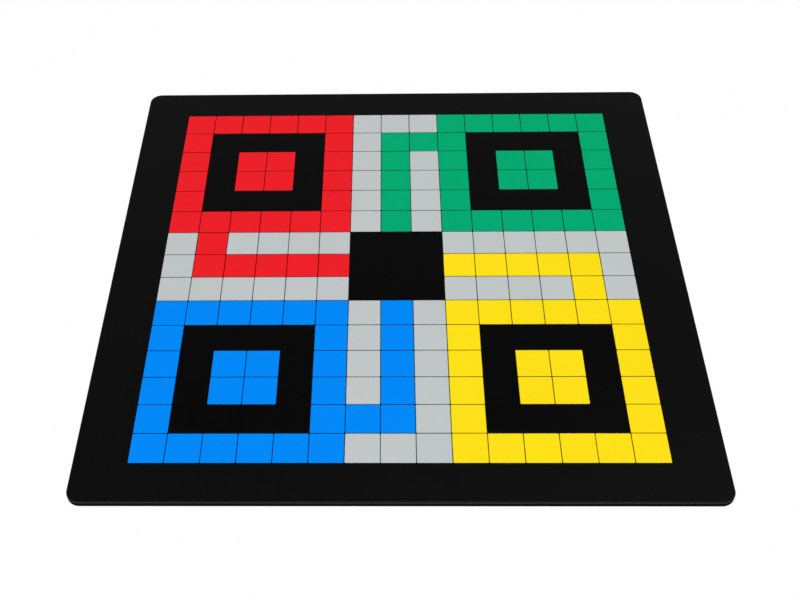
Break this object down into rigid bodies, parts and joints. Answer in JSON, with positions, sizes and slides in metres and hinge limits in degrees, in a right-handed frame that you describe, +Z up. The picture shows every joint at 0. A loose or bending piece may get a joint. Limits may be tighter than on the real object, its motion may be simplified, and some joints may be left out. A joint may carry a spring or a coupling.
{
  "type": "ludo board",
  "caption": "Flat square ludo board: coloured and grey square tiles laid flush in a black surround with rounded corners, on a base plate with rubber pads.",
  "frame": {"origin": "on the table top, under the middle of the board", "axes": "+Z up out of the playing face, +X to the right and +Y away from the player, with the red yard back left and the yellow yard front right"},
  "size_m": [0.4518, 0.4378, 0.0058],
  "materials": {
    "red_tile": "satin",
    "green_tile": "satin",
    "blue_tile": "satin",
    "yellow_tile": "satin",
    "grey_tile": "satin",
    "inlay_black": "satin",
    "surround_black": "satin",
    "base_black": "matt",
    "bonding_film": "matt",
    "pad_rubber": "matt"
  },
  "bodies": {
    "root": {"back_track_outward_tiles": "grey_tile", "back_track_return_tiles": "grey_tile", "back_track_turn_tile": "grey_tile", "base_plate": "base_black", "blue_home_lane_tiles": "blue_tile", "blue_nest_tiles": "blue_tile", "blue_start_tile": "blue_tile", "blue_yard_back_tiles": "blue_tile", "blue_yard_front_tiles": "blue_tile", "blue_yard_left_tiles": "blue_tile", "blue_yard_right_tiles": "blue_tile", "blue_yard_ring": "inlay_black", "bonding_sheet": "bonding_film", "centre_plate": "inlay_black", "front_track_outward_tiles": "grey_tile", "front_track_return_tiles": "grey_tile", "front_track_turn_tile": "grey_tile", "green_home_lane_tiles": "green_tile", "green_nest_tiles": "green_tile", "green_start_tile": "green_tile", "green_yard_back_tiles": "green_tile", "green_yard_front_tiles": "green_tile", "green_yard_left_tiles": "green_tile", "green_yard_right_tiles": "green_tile", "green_yard_ring": "inlay_black", "left_track_outward_tiles": "grey_tile", "left_track_return_tiles": "grey_tile", "left_track_turn_tile": "grey_tile", "red_home_lane_tiles": "red_tile", "red_nest_tiles": "red_tile", "red_start_tile": "red_tile", "red_yard_back_tiles": "red_tile", "red_yard_front_tiles": "red_tile", "red_yard_left_tiles": "red_tile", "red_yard_right_tiles": "red_tile", "red_yard_ring": "inlay_black", "right_track_outward_tiles": "grey_tile", "right_track_return_tiles": "grey_tile", "right_track_turn_tile": "grey_tile", "rubber_pads": "pad_rubber", "surround_frame": "surround_black", "yellow_home_lane_tiles": "yellow_tile", "yellow_nest_tiles": "yellow_tile", "yellow_start_tile": "yellow_tile", "yellow_yard_back_tiles": "yellow_tile", "yellow_yard_front_tiles": "yellow_tile", "yellow_yard_left_tiles": "yellow_tile", "yellow_yard_right_tiles": "yellow_tile", "yellow_yard_ring": "inlay_black"}
  },
  "joints": []
}
